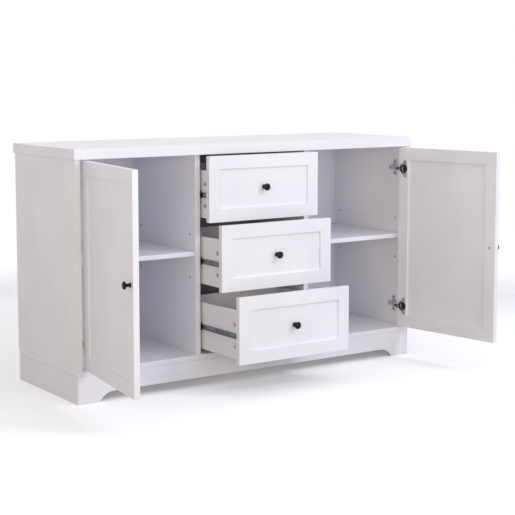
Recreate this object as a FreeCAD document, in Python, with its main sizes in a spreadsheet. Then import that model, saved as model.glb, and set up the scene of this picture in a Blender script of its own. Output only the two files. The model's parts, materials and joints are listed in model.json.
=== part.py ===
import FreeCAD, Part
import os
import re

# White sideboard buffet: two doors, three drawers, bracket-foot plinth.
# Frame: origin on the floor under the middle of the carcass, +X to the right, +Y to the back, +Z up.
# Rest pose: both doors swung open, and the three drawers pulled out by different amounts.

doc = FreeCAD.newDocument("sideboard")
sheet = doc.addObject("Spreadsheet::Sheet", "Dims")

DIMS = (
    # carcass
    ("top_width", 1360), ("top_depth", 445), ("total_height", 800), ("top_thickness", 33),
    ("top_overhang", 4), ("board", 18), ("divider_centre", 221.5),
    ("side_rear_inset", 5), ("back_inset", 27.5), ("back_thickness", 3), ("back_groove", 6),
    # plinth with bracket feet
    ("base_height", 88), ("base_rear_inset", 10), ("foot_width", 77), ("apron_lift", 29.4),
    ("foot_radius", 57), ("centre_support_length", 255),
    # doors and drawer fronts
    ("front_thickness", 18), ("bumper_gap", 1), ("reveal", 3), ("side_reveal", 2),
    ("frame_width", 43), ("recess", 6),
    # shelves and their pins
    ("shelf_thickness", 15), ("shelf_inset", 7), ("shelf_gap", 1), ("pin_radius", 2.5), ("pin_depth", 9),
    ("pin_reach", 7), ("pin_level", 430), ("pin_pitch", 72), ("pin_row_front", 55), ("pin_row_back", 378),
    # drawer boxes
    ("slide_gap", 10), ("drawer_board", 12), ("drawer_length", 370), ("drawer_wall", 157),
    ("drawer_rise", 10), ("tray_thickness", 3), ("tray_rise", 10), ("tray_groove", 5),
    ("pull_upper", 50), ("pull_middle", 124), ("pull_lower", 224),
    # cam locks that hold the drawer sides to the fronts
    ("cam_radius", 7.5), ("cam_depth", 9), ("cam_setback", 36), ("cam_low", 50), ("cam_pitch", 72),
    ("cam_slot", 1.6), ("cam_slot_depth", 2), ("cam_slot_reach", 4.9),
    # ball-bearing slides
    ("slide_level", 87), ("slide_length", 350), ("slide_setback", 22), ("channel_height", 27),
    ("runner_height", 17), ("slide_sheet", 1.2), ("channel_flange", 8.5), ("runner_flange", 6.5),
    ("ball_radius", 1.9), ("cage_length", 90), ("cage_start", 152.5), ("cage_sheet", 0.8),
    ("cage_gap", 1.9), ("cage_lip", 5), ("ball_lead", 6), ("ball_step", 26), ("ball_inset", 3),
    # knobs
    ("knob_base_radius", 7.5), ("knob_base_height", 2.5), ("knob_base_step", 1), ("knob_neck_radius", 4.8),
    ("knob_neck_height", 15), ("knob_head_radius", 12.2), ("knob_head_half", 6), ("knob_reach", 18.5),
    ("knob_edge", 22),
    ("bolt_radius", 2), ("bolt_clearance", 0.1), ("bolt_bite", 8), ("bolt_head_radius", 4.2),
    ("bolt_head_height", 2.4), ("bolt_tip_gap", 0.5),
    # concealed hinges
    ("door_angle", 98.5), ("axis_inset", 9), ("hinge_inset", 76),
    ("nose_across", 20), ("nose_back", 19.5), ("cup_pin_across", 20), ("cup_pin_back", 13),
    ("cup_centre", 14.5), ("bore_radius", 17.5), ("bore_depth", 12), ("cup_radius", 17.4), ("cup_sheet", 0.7),
    ("rim_radius", 18.6), ("rim_height", 1.2), ("flange_half", 31), ("flange_far", 16), ("flange_near", 1),
    ("hinge_pin_radius", 1.25), ("hinge_pin_clearance", 0.05),
    ("arm_link_half", 2.6), ("arm_link_thickness", 6), ("cup_link_half", 2.4), ("cup_link_inner", 3.5),
    ("cup_link_outer", 5.2), ("cheek_inner", 6), ("cheek_outer", 7.6), ("cheek_half", 3.2),
    ("arm_low", 3), ("arm_high", 14.6), ("arm_sheet", 1.6), ("arm_front", 40), ("arm_rear", 75),
    ("arm_crank_back", 44), ("arm_crank_across", 10), ("plate_thickness", 2), ("plate_centre", 57),
    ("plate_half_width", 8.5), ("plate_half_height", 29), ("boss_half", 5.8), ("boss_top", 12.8),
    ("boss_front", 42), ("boss_rear", 71), ("plate_screw_spread", 22), ("plate_screw_radius", 2),
    ("plate_screw_depth", 12), ("plate_screw_head_radius", 4), ("plate_screw_head", 1.6),
)
for row, (alias, number) in enumerate(DIMS, 1):
    sheet.set(f"A{row}", alias)
    sheet.set(f"B{row}", str(number))
    sheet.setAlias(f"B{row}", alias)
doc.recompute()

ALIASES = {alias for alias, number in DIMS}
nodes = []


def bind(text):
    """An expression on the sheet: every alias in the text gets the sheet's name in front of it."""
    return re.sub(r"[a-z_]+", lambda word: f"Dims.{word[0]}" if word[0] in ALIASES else word[0], str(text))


def sized(kind, name, **sizes):
    """A primitive whose sizes are expressions."""
    piece = doc.addObject(kind, name)
    for prop, text in sizes.items():
        piece.setExpression(prop, bind(text))
    return piece


def at(piece, spot, axis=None, angle=0):
    """Put the piece at the spot (three expressions), turned about the axis by the angle in degrees."""
    if axis:
        piece.Placement = FreeCAD.Placement(FreeCAD.Vector(), FreeCAD.Rotation(FreeCAD.Vector(*axis), 1))
        piece.setExpression("Placement.Rotation.Angle", bind(angle))
    for letter, text in zip("xyz", spot):
        piece.setExpression(f"Placement.Base.{letter}", bind(text))
    return piece


def block(name, xs, ys, zs):
    """A box between two planes on each axis."""
    sides = [f"({high}) - ({low})" for low, high in (xs, ys, zs)]
    piece = sized("Part::Box", name, Length=sides[0], Width=sides[1], Height=sides[2])
    return at(piece, (xs[0], ys[0], zs[0]))


TURN = {"x": ((0, 1, 0), 90), "y": ((1, 0, 0), -90), "z": (None, 0)}


def rod(name, radius, length, spot, along="z"):
    """A cylinder that starts at the spot and runs towards + along one axis."""
    return at(sized("Part::Cylinder", name, Radius=radius, Height=length), spot, *TURN[along])


def group(name, pieces):
    """Separate solids that share one object."""
    piece = doc.addObject("Part::Compound", name)
    piece.Links = pieces
    return piece


def fuse(name, pieces):
    """The pieces joined into one solid."""
    piece = doc.addObject("Part::MultiFuse", name)
    piece.Shapes = pieces
    piece.Refine = True
    return piece


def cut(name, base, tools):
    """The base with every tool taken out of it."""
    piece = doc.addObject("Part::Cut", name)
    piece.Base = base
    piece.Tool = tools[0] if len(tools) == 1 else group(f"{name}_tools", tools)
    return piece


def node(name, piece):
    """Keep the piece as one of the object's sub-parts, under its own name."""
    piece.Label = name
    nodes.append(piece)
    return piece


def span(side, low, high):
    """An interval in X: side +1 keeps it, side -1 mirrors it."""
    return (low, high) if side > 0 else (f"-({high})", f"-({low})")


# Named planes and lengths, as expressions
FRONT = "(top_overhang - top_depth / 2)"
SIDE_REAR = "(top_depth / 2 - side_rear_inset)"
BASE_REAR = "(top_depth / 2 - base_rear_inset)"
BACK = "(top_depth / 2 - back_inset)"
OUTER = "(top_width / 2 - top_overhang)"
INNER = f"({OUTER} - board)"
FLOOR_TOP = "(base_height + board)"
CEILING = "(total_height - top_thickness)"
DIVIDER_FRONT = f"({FRONT} + front_thickness + bumper_gap)"
BAY_HALF = "(divider_centre - board / 2)"
DIVIDER_OUTER = "(divider_centre + board / 2)"
FRONT_HALF = "(divider_centre - reveal / 2)"
DRAWER_HALF = f"({BAY_HALF} - slide_gap)"
DRAWER_FRONT_HEIGHT = f"(({CEILING} - {FLOOR_TOP} - 4 * reveal) / 3)"
DOOR_LOW = f"({FLOOR_TOP} + reveal)"
DOOR_HIGH = f"({CEILING} - reveal)"
DOOR_WIDTH = f"({INNER} - side_reveal - {FRONT_HALF} - reveal)"
AXIS_X = f"({INNER} - axis_inset)"
PLATE_MIDDLE = f"({FRONT} + plate_centre)"
SIDES = (("left", -1), ("right", 1))
ENDS = (("low", -1), ("high", 1))
BALLS_IN_A_ROW = 4


# ---------------------------------------------------------------- carcass
def pin_holes(name, face, direction):
    """Blind holes for shelf pins: three heights in two rows, from the face into the board."""
    holes = []
    start = face if direction > 0 else f"{face} - pin_depth"
    for row, setback in enumerate(("pin_row_front", "pin_row_back")):
        for level in (-1, 0, 1):
            spot = (start, f"{FRONT} + {setback}", f"pin_level + {level} * pin_pitch")
            holes.append(rod(f"{name}_hole_{row}_{level + 1}", "pin_radius", "pin_depth", spot, "x"))
    return holes


def plate_screw_holes(name, side):
    """Blind holes in the side panel for the screws of the two hinge plates."""
    holes = []
    low_x = span(side, INNER, f"{INNER} + plate_screw_depth")[0]
    for place, level in hinge_levels():
        for word, sign in ENDS:
            spot = (low_x, PLATE_MIDDLE, f"{level} + {sign} * plate_screw_spread")
            holes.append(rod(f"{name}_{place}_{word}_screw_hole", "plate_screw_radius", "plate_screw_depth",
                             spot, "x"))
    return holes


def make_boards():
    """The fixed boards: top, sides, dividers, bottom and back."""
    node("top_board", block("top_board", ("-top_width / 2", "top_width / 2"),
                            ("-top_depth / 2", "top_depth / 2"), (CEILING, "total_height")))
    node("bottom_board", block("bottom_board", (f"-{OUTER}", OUTER), (FRONT, BASE_REAR),
                               ("base_height", FLOOR_TOP)))
    for word, side in SIDES:
        name = f"side_panel_{word}"
        panel = block(f"{name}_blank", span(side, INNER, OUTER), (FRONT, SIDE_REAR), (FLOOR_TOP, CEILING))
        groove = block(f"{name}_groove", span(side, INNER, f"{INNER} + back_groove"),
                       (BACK, f"{BACK} + back_thickness"), (FLOOR_TOP, CEILING))
        holes = pin_holes(name, INNER if side > 0 else f"-{INNER}", side) + plate_screw_holes(name, side)
        node(name, cut(name, panel, [groove] + holes))
        name = f"divider_{word}"
        panel = block(f"{name}_blank", span(side, BAY_HALF, DIVIDER_OUTER), (DIVIDER_FRONT, BACK),
                      (FLOOR_TOP, CEILING))
        holes = pin_holes(name, DIVIDER_OUTER if side > 0 else f"-{DIVIDER_OUTER}", -side)
        node(name, cut(name, panel, holes))
    reach = f"({INNER} + back_groove)"
    node("back_panel", block("back_panel", (f"-{reach}", reach), (BACK, f"{BACK} + back_thickness"),
                             (FLOOR_TOP, CEILING)))


def make_plinth():
    """The base: a front board with two bracket feet, side boards, a rear board and a centre support."""
    blank = block("plinth_front_blank", (f"-{OUTER}", OUTER), (FRONT, f"{FRONT} + board"),
                  (0, "base_height"))
    drop = "(foot_radius - apron_lift)"
    arch_centre = f"({OUTER} - foot_width - sqrt(foot_radius ^ 2 - {drop} ^ 2))"
    tools = [block("plinth_front_gap", (f"-{arch_centre}", arch_centre), (FRONT, f"{FRONT} + board"),
                   (0, "apron_lift"))]
    for word, side in SIDES:
        spot = (f"{side} * {arch_centre}", FRONT, f"-{drop}")
        tools.append(rod(f"plinth_front_arch_{word}", "foot_radius", "board", spot, "y"))
    node("plinth_front", cut("plinth_front", blank, tools))
    for word, side in SIDES:
        name = f"plinth_side_{word}"
        node(name, block(name, span(side, INNER, OUTER), (f"{FRONT} + board", BASE_REAR),
                         (0, "base_height")))
    node("plinth_back", block("plinth_back", (f"-{INNER}", INNER), (f"{BASE_REAR} - board", BASE_REAR),
                              (0, "base_height")))
    rear = f"({BASE_REAR} - board)"
    node("plinth_middle", block("plinth_middle", ("-board / 2", "board / 2"),
                                (f"{rear} - centre_support_length", rear), (0, "base_height")))


def make_shelves():
    """One shelf in each door bay, each on four pins."""
    pins = []
    for word, side in SIDES:
        name = f"shelf_{word}"
        low = "pin_level + pin_radius"
        node(name, block(name, span(side, f"{DIVIDER_OUTER} + shelf_gap", f"{INNER} - shelf_gap"),
                         (f"{DIVIDER_FRONT} + shelf_inset", f"{BACK} - shelf_gap"),
                         (low, f"{low} + shelf_thickness")))
        for row, setback in enumerate(("pin_row_front", "pin_row_back")):
            walls = (("side", f"{INNER} - pin_reach"), ("divider", f"{DIVIDER_OUTER} - pin_depth"))
            for wall, start in walls:
                low_x = span(side, start, f"{start} + pin_depth + pin_reach")[0]
                spot = (low_x, f"{FRONT} + {setback}", "pin_level")
                pins.append(rod(f"pin_{word}_{wall}_{row}", "pin_radius", "pin_depth + pin_reach", spot, "x"))
    node("shelf_pins", group("shelf_pins", pins))


# ---------------------------------------------------------------- drawers
def c_channel(name, side, low, high, web_inside, height, y0, level):
    """A folded sheet channel between two planes, with its web on the inner or the outer one."""
    ys = (y0, f"{y0} + slide_length")
    half = f"{height} / 2"
    xs = (f"{low} + slide_sheet", high) if web_inside else (low, f"{high} - slide_sheet")
    blank = block(f"{name}_blank", span(side, low, high), ys, (f"{level} - {half}", f"{level} + {half}"))
    hollow = block(f"{name}_hollow", span(side, *xs), ys,
                   (f"{level} - {half} + slide_sheet", f"{level} + {half} - slide_sheet"))
    return cut(name, blank, [hollow])


def ball_cage(name, side, y0, level):
    """A strip with two rows of balls that rolls between the runner and the channel."""
    ys = (y0, f"{y0} + cage_length")
    web = f"({BAY_HALF} - cage_gap)"
    track = "((channel_height / 2 - slide_sheet + runner_height / 2) / 2)"
    pieces = [block(f"{name}_web", span(side, f"{web} - cage_sheet", web), ys,
                    (f"{level} - {track} - cage_sheet / 2", f"{level} + {track} + cage_sheet / 2"))]
    for row, sign in ENDS:
        middle = f"({level} + {sign} * {track})"
        pieces.append(block(f"{name}_{row}_lip", span(side, f"{web} - cage_lip", web), ys,
                            (f"{middle} - cage_sheet / 2", f"{middle} + cage_sheet / 2")))
        for count in range(BALLS_IN_A_ROW):
            ball = sized("Part::Sphere", f"{name}_{row}_ball_{count}", Radius="ball_radius")
            spot = (f"{side} * ({web} - ball_inset)", f"{y0} + ball_lead + {count} * ball_step", middle)
            pieces.append(at(ball, spot))
    return fuse(name, pieces)


def cam_lock(name, side, y, level):
    """A round cam, flush with the drawer side's outer face, with a cross slot for the screwdriver."""
    outer = DRAWER_HALF
    low_x = span(side, f"{outer} - cam_depth", outer)[0]
    disc = rod(f"{name}_disc", "cam_radius", "cam_depth", (low_x, y, level), "x")
    slot_x = span(side, f"{outer} - cam_slot_depth", outer)
    slot_up = block(f"{name}_slot_up", slot_x, (f"{y} - cam_slot / 2", f"{y} + cam_slot / 2"),
                    (f"{level} - cam_slot_reach", f"{level} + cam_slot_reach"))
    slot_across = block(f"{name}_slot_across", slot_x, (f"{y} - cam_slot_reach", f"{y} + cam_slot_reach"),
                        (f"{level} - cam_slot / 2", f"{level} + cam_slot / 2"))
    return cut(name, disc, [slot_up, slot_across])


def knob(name, spot):
    """A mushroom knob that points to the front."""
    x, y, z = spot
    base = at(sized("Part::Cylinder", f"{name}_base", Radius="knob_base_radius", Height="knob_base_height"),
              spot, (1, 0, 0), 90)
    neck = at(sized("Part::Cone", f"{name}_neck", Radius1="knob_base_radius - knob_base_step",
                    Radius2="knob_neck_radius", Height="knob_neck_height"), spot, (1, 0, 0), 90)
    head = at(sized("Part::Ellipsoid", f"{name}_head", Radius1="knob_head_half", Radius2="knob_head_radius"),
              (x, f"{y} - knob_reach", z), (1, 0, 0), 90)
    return fuse(f"{name}_body", [base, neck, head])


def make_drawer(word, count, pull):
    """One drawer: front, two sides, back, tray, knob, slide runners, ball cages and cam locks."""
    low = f"({DOOR_LOW} + {count} * ({DRAWER_FRONT_HEIGHT} + reveal))"
    high = f"({low} + {DRAWER_FRONT_HEIGHT})"
    face = f"({FRONT} - {pull})"
    rear_face = f"({face} + front_thickness)"
    wall_low = f"({low} + drawer_rise)"
    wall_high = f"({wall_low} + drawer_wall)"
    end = f"({rear_face} + drawer_length)"
    tray = (f"{wall_low} + tray_rise", f"{wall_low} + tray_rise + tray_thickness")
    inside = f"({DRAWER_HALF} - drawer_board)"
    tray_half = f"({inside} + tray_groove)"
    tray_ys = (f"{rear_face} - tray_groove", f"{end} - drawer_board + tray_groove")
    tray_space = [block(f"tray_space_{word}_{part}", (f"-{tray_half}", tray_half), tray_ys, tray)
                  for part in ("front", "left", "right", "back")]
    blank = block(f"drawer_{word}_front_blank", (f"-{FRONT_HALF}", FRONT_HALF), (face, rear_face), (low, high))
    panel = block(f"drawer_{word}_front_recess",
                  (f"frame_width - {FRONT_HALF}", f"{FRONT_HALF} - frame_width"), (face, f"{face} + recess"),
                  (f"{low} + frame_width", f"{high} - frame_width"))
    node(f"drawer_{word}_front", cut(f"drawer_{word}_front", blank, [panel, tray_space[0]]))
    cams = []
    for (hand, side), space in zip(SIDES, tray_space[1:3]):
        name = f"drawer_{word}_side_{hand}"
        blank = block(f"{name}_blank", span(side, inside, DRAWER_HALF), (rear_face, end),
                      (wall_low, wall_high))
        pockets = []
        for step in (0, 1):
            y, level = f"({rear_face} + cam_setback)", f"({low} + cam_low + {step} * cam_pitch)"
            low_x = span(side, f"{DRAWER_HALF} - cam_depth", DRAWER_HALF)[0]
            pockets.append(rod(f"{name}_cam_hole_{step}", "cam_radius", "cam_depth", (low_x, y, level), "x"))
            cams.append(cam_lock(f"cam_{word}_{hand}_{step}", side, y, level))
        node(name, cut(name, blank, [space] + pockets))
    blank = block(f"drawer_{word}_back_blank", (f"-{inside}", inside), (f"{end} - drawer_board", end),
                  (wall_low, wall_high))
    node(f"drawer_{word}_back", cut(f"drawer_{word}_back", blank, [tray_space[3]]))
    node(f"drawer_{word}_bottom", block(f"drawer_{word}_bottom", (f"-{tray_half}", tray_half), tray_ys, tray))
    centre = f"({low} + {DRAWER_FRONT_HEIGHT} / 2)"
    node(f"drawer_{word}_knob", knob(f"drawer_{word}_knob", (0, f"{face} + recess", centre)))
    level = f"({low} + slide_level)"
    runner_y = f"({FRONT} + slide_setback - {pull})"
    cage_y = f"({FRONT} + cage_start - {pull} / 2)"
    runners, cages, channels = [], [], []
    for hand, side in SIDES:
        runners.append(c_channel(f"runner_{word}_{hand}", side, DRAWER_HALF, f"{DRAWER_HALF} + runner_flange",
                                 True, "runner_height", runner_y, level))
        cages.append(ball_cage(f"cage_{word}_{hand}", side, cage_y, level))
        channels.append(c_channel(f"channel_{word}_{hand}", side, f"{BAY_HALF} - channel_flange", BAY_HALF,
                                  False, "channel_height", f"{FRONT} + slide_setback", level))
    node(f"drawer_{word}_slide_runners", group(f"drawer_{word}_slide_runners", runners))
    node(f"drawer_{word}_ball_cages", group(f"drawer_{word}_ball_cages", cages))
    node(f"drawer_{word}_cam_locks", group(f"drawer_{word}_cam_locks", cams))
    return channels


# ---------------------------------------------------------------- doors
def swung(name, side, piece):
    """A door piece, modelled shut with its origin on the hinge axis, turned to where the door stands."""
    placed = group(name, [piece] if not isinstance(piece, list) else piece)
    return at(placed, (f"{side} * {AXIS_X}", FRONT, 0), (0, 0, 1), f"{side} * door_angle")


def hinge_levels():
    """The heights of a door's lower and upper hinge."""
    return (("lower", f"({DOOR_LOW} + hinge_inset)"), ("upper", f"({DOOR_HIGH} - hinge_inset)"))


def hinge_cup(name, side, level):
    """The cup that fills the door's bore, with its flange, and the pin that the cup link turns on."""
    centre = f"{side} * (-cup_centre)"
    floor = "front_thickness - bore_depth"
    can = rod(f"{name}_can", "cup_radius", "bore_depth", (centre, floor, level), "y")
    rim = rod(f"{name}_rim", "rim_radius", "rim_height", (centre, "front_thickness", level), "y")
    ears = block(f"{name}_ears", span(side, "-cup_centre - flange_far", "-cup_centre - flange_near"),
                 ("front_thickness", "front_thickness + rim_height"),
                 (f"{level} - flange_half", f"{level} + flange_half"))
    solid = fuse(f"{name}_solid", [can, rim, ears])
    mouth = rod(f"{name}_mouth", "cup_radius - cup_sheet", "bore_depth + rim_height",
                (centre, f"{floor} + cup_sheet", level), "y")
    half = "(sqrt((cup_radius - cup_sheet) ^ 2 - (cup_pin_across - cup_centre) ^ 2) + cup_sheet / 2)"
    pin = rod(f"{name}_pin", "hinge_pin_radius", f"2 * {half}",
              (f"{side} * (-cup_pin_across)", "cup_pin_back", f"{level} - {half}"))
    return fuse(name, [cut(f"{name}_shell", solid, [mouth]), pin])


def link_plate(name, half, length, low, high, holes):
    """A flat link along +X from the origin: two round ends, and a hole at each end named in holes."""
    body = [block(f"{name}_bar", (0, length), (f"-{half}", half), (low, high))]
    for end, x in (("near", 0), ("far", length)):
        body.append(rod(f"{name}_{end}_end", half, f"({high}) - ({low})", (x, 0, low)))
    drills = [rod(f"{name}_{end}_hole", "hinge_pin_radius + hinge_pin_clearance", f"({high}) - ({low})",
                  (0 if end == "near" else length, 0, low)) for end in holes]
    return cut(name, fuse(f"{name}_blank", body), drills)


def arm_link(name, side, level):
    """The link that turns on the arm's nose and stays parallel to the line from hinge axis to cup pin."""
    length = "hypot(cup_pin_across; cup_pin_back)"
    half = "arm_link_thickness / 2"
    plate = link_plate(f"{name}_plate", "arm_link_half", length, f"-{half}", half, ("near", "far"))
    lean = "atan2(cup_pin_back; -cup_pin_across) / 1 deg"
    heading = f"{lean} + door_angle" if side > 0 else f"180 - ({lean}) - door_angle"
    spot = (f"{side} * ({AXIS_X} - nose_across)", f"{FRONT} + nose_back", level)
    return at(group(name, [plate]), spot, (0, 0, 1), heading)


def cup_link(name, side, level):
    """The forked link that turns on the cup's pin; its two plates carry the pin of the free pivot."""
    length = "hypot(nose_across; nose_back)"
    upper = link_plate(f"{name}_upper", "cup_link_half", length, "cup_link_inner", "cup_link_outer", ("near",))
    lower = link_plate(f"{name}_lower", "cup_link_half", length, "-cup_link_outer", "-cup_link_inner", ("near",))
    pin = rod(f"{name}_pin", "hinge_pin_radius", "2 * cup_link_outer", (length, 0, "-cup_link_outer"))
    heading = "atan2(nose_back; -nose_across) / 1 deg"
    heading = heading if side > 0 else f"180 - ({heading})"
    across, back = "cup_pin_across", "cup_pin_back"
    turn = "door_angle * 1 deg"
    x = f"{side} * ({AXIS_X} - {across} * cos({turn}) - {back} * sin({turn}))"
    y = f"{FRONT} - {across} * sin({turn}) + {back} * cos({turn})"
    return at(fuse(name, [upper, lower, pin]), (x, y, level), (0, 0, 1), heading)


def hinge_arm(name, side, level):
    """The cranked arm: a tail clipped over the plate, two cheeks out to the nose and the nose pin."""
    pieces = []
    for word, low, high in (("upper", "cheek_inner", "cheek_outer"), ("lower", "-cheek_outer", "-cheek_inner")):
        zs = (f"{level} + {low}", f"{level} + {high}")
        pieces.append(block(f"{name}_{word}_tail", span(side, f"{INNER} - arm_high", f"{INNER} - arm_low"),
                            (f"{FRONT} + arm_front", f"{FRONT} + arm_rear"), zs))
        run_x, run_y = "(axis_inset + nose_across - arm_crank_across)", "(arm_crank_back - nose_back)"
        crank = sized("Part::Box", f"{name}_{word}_crank", Length=f"hypot({run_x}; {run_y})",
                      Width="2 * cheek_half", Height="cheek_outer - cheek_inner")
        at(crank, (0, "-cheek_half", low))
        nose = rod(f"{name}_{word}_nose", "cheek_half", "cheek_outer - cheek_inner", (0, 0, low))
        lean = f"atan2({run_y}; {run_x}) / 1 deg"
        swing = group(f"{name}_{word}_cheek", [crank, nose])
        spot = (f"{side} * ({AXIS_X} - nose_across)", f"{FRONT} + nose_back", level)
        pieces.append(at(swing, spot, (0, 0, 1), lean if side > 0 else f"180 - ({lean})"))
    pieces.append(block(f"{name}_web", span(side, f"{INNER} - arm_high", f"{INNER} - arm_high + arm_sheet"),
                        (f"{FRONT} + arm_front", f"{FRONT} + arm_rear"),
                        (f"{level} - cheek_outer", f"{level} + cheek_outer")))
    pieces.append(rod(f"{name}_pin", "hinge_pin_radius", "2 * cheek_outer",
                      (f"{side} * ({AXIS_X} - nose_across)", f"{FRONT} + nose_back", f"{level} - cheek_outer")))
    return fuse(name, pieces)


def hinge_plate(name, side, level):
    """The mounting plate on the side panel, with the raised boss that the arm clips over."""
    wing = block(f"{name}_wing", span(side, f"{INNER} - plate_thickness", INNER),
                 (f"{PLATE_MIDDLE} - plate_half_width", f"{PLATE_MIDDLE} + plate_half_width"),
                 (f"{level} - plate_half_height", f"{level} + plate_half_height"))
    boss = block(f"{name}_boss", span(side, f"{INNER} - boss_top", INNER),
                 (f"{FRONT} + boss_front", f"{FRONT} + boss_rear"),
                 (f"{level} - boss_half", f"{level} + boss_half"))
    body = fuse(f"{name}_solid", [wing, boss])
    holes = []
    for word, sign in ENDS:
        x = span(side, f"{INNER} - plate_thickness", INNER)[0]
        holes.append(rod(f"{name}_hole_{word}", "plate_screw_radius", "plate_thickness",
                         (x, PLATE_MIDDLE, f"{level} + {sign} * plate_screw_spread"), "x"))
    return cut(name, body, holes)


def plate_screw(name, side, level, sign):
    """A screw through the mounting plate into the side panel."""
    z = f"{level} + {sign} * plate_screw_spread"
    shank_x = span(side, f"{INNER} - plate_thickness", f"{INNER} + plate_screw_depth")[0]
    head_x = span(side, f"{INNER} - plate_thickness - plate_screw_head", f"{INNER} - plate_thickness")[0]
    shank = rod(f"{name}_shank", "plate_screw_radius", "plate_thickness + plate_screw_depth",
                (shank_x, PLATE_MIDDLE, z), "x")
    head = rod(f"{name}_head", "plate_screw_head_radius", "plate_screw_head", (head_x, PLATE_MIDDLE, z), "x")
    return fuse(name, [shank, head])


def make_door(word, side):
    """One door: frame, inset panel, knob with its screw, two hinge cups; returns the fixed hinge parts."""
    us = span(side, f"axis_inset - side_reveal - {DOOR_WIDTH}", "axis_inset - side_reveal")
    window_us = span(side, f"axis_inset - side_reveal - {DOOR_WIDTH} + frame_width",
                     "axis_inset - side_reveal - frame_width")
    window_zs = (f"{DOOR_LOW} + frame_width", f"{DOOR_HIGH} - frame_width")
    middle = f"(({DOOR_LOW} + {DOOR_HIGH}) / 2)"
    knob_u = f"{side} * (axis_inset - side_reveal - {DOOR_WIDTH} + knob_edge)"
    blank = block(f"door_{word}_blank", us, (0, "front_thickness"), (DOOR_LOW, DOOR_HIGH))
    tools = [block(f"door_{word}_window", window_us, (0, "front_thickness"), window_zs)]
    tools.append(rod(f"door_{word}_bolt_hole", "bolt_radius + bolt_clearance", "front_thickness",
                     (knob_u, 0, middle), "y"))
    for place, level in hinge_levels():
        tools.append(rod(f"door_{word}_{place}_bore", "bore_radius", "bore_depth",
                         (f"{side} * (-cup_centre)", "front_thickness - bore_depth", level), "y"))
    frame = cut(f"door_{word}_frame_shut", blank, tools)
    node(f"door_{word}_frame", swung(f"door_{word}_frame", side, frame))
    panel = block(f"door_{word}_panel_shut", window_us, ("recess", "front_thickness - recess"), window_zs)
    node(f"door_{word}_panel", swung(f"door_{word}_panel", side, panel))
    bolt_space = rod(f"door_{word}_knob_thread", "bolt_radius + bolt_clearance", "bolt_bite",
                     (knob_u, "-bolt_bite", middle), "y")
    grip = cut(f"door_{word}_knob_shut", knob(f"door_{word}_knob_blank", (knob_u, 0, middle)), [bolt_space])
    node(f"door_{word}_knob", swung(f"door_{word}_knob", side, grip))
    shank = rod(f"door_{word}_bolt_shank", "bolt_radius", "bolt_bite - bolt_tip_gap + front_thickness",
                (knob_u, "bolt_tip_gap - bolt_bite", middle), "y")
    head = rod(f"door_{word}_bolt_head", "bolt_head_radius", "bolt_head_height",
               (knob_u, "front_thickness", middle), "y")
    bolt = fuse(f"door_{word}_bolt", [shank, head])
    node(f"door_{word}_knob_screw", swung(f"door_{word}_knob_screw", side, bolt))
    cups, arm_links, cup_links, arms, plates, screws = [], [], [], [], [], []
    for place, level in hinge_levels():
        tag = f"{word}_{place}"
        cups.append(hinge_cup(f"cup_{tag}", side, level))
        arm_links.append(arm_link(f"arm_link_{tag}", side, level))
        cup_links.append(cup_link(f"cup_link_{tag}", side, level))
        arms.append(hinge_arm(f"arm_{tag}", side, level))
        plates.append(hinge_plate(f"plate_{tag}", side, level))
        for end, sign in ENDS:
            screws.append(plate_screw(f"screw_{tag}_{end}", side, level, sign))
    node(f"door_{word}_hinge_cups", swung(f"door_{word}_hinge_cups", side, cups))
    node(f"hinge_arm_links_{word}", group(f"hinge_arm_links_{word}", arm_links))
    node(f"hinge_cup_links_{word}", group(f"hinge_cup_links_{word}", cup_links))
    return arms, plates, screws


make_boards()
make_plinth()
make_shelves()
all_channels = []
for drawer_count, (drawer_word, drawer_pull) in enumerate((("lower", "pull_lower"),
                                                            ("middle", "pull_middle"), ("upper", "pull_upper"))):
    all_channels += make_drawer(drawer_word, drawer_count, drawer_pull)
node("slide_channels", group("slide_channels", all_channels))
all_arms, all_plates, all_screws = [], [], []
for door_word, door_side in SIDES:
    door_arms, door_plates, door_screws = make_door(door_word, door_side)
    all_arms += door_arms
    all_plates += door_plates
    all_screws += door_screws
node("hinge_arms", group("hinge_arms", all_arms))
node("hinge_plates", group("hinge_plates", all_plates))
node("hinge_plate_screws", group("hinge_plate_screws", all_screws))

doc.recompute()

# Every object has to be sound before anything is written
for item in doc.Objects:
    if {"Invalid", "Error"} & set(item.State):
        raise RuntimeError(f"{item.Name} did not compute: {item.State}")
os.makedirs("parts", exist_ok=True)
for piece in nodes:
    shape = piece.Shape
    if shape.isNull() or not shape.isValid() or not shape.Solids:
        raise RuntimeError(f"{piece.Label} has no valid solid")
    shape.exportStep(f"parts/{piece.Label}.step")
    print(f"{piece.Label}: {len(shape.Solids)} solid(s), {shape.Volume / 1000:.1f} cm3")
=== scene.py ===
"""White sideboard buffet: two doors and three drawers standing open, on a bracket-foot plinth."""

import json
import math

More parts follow.
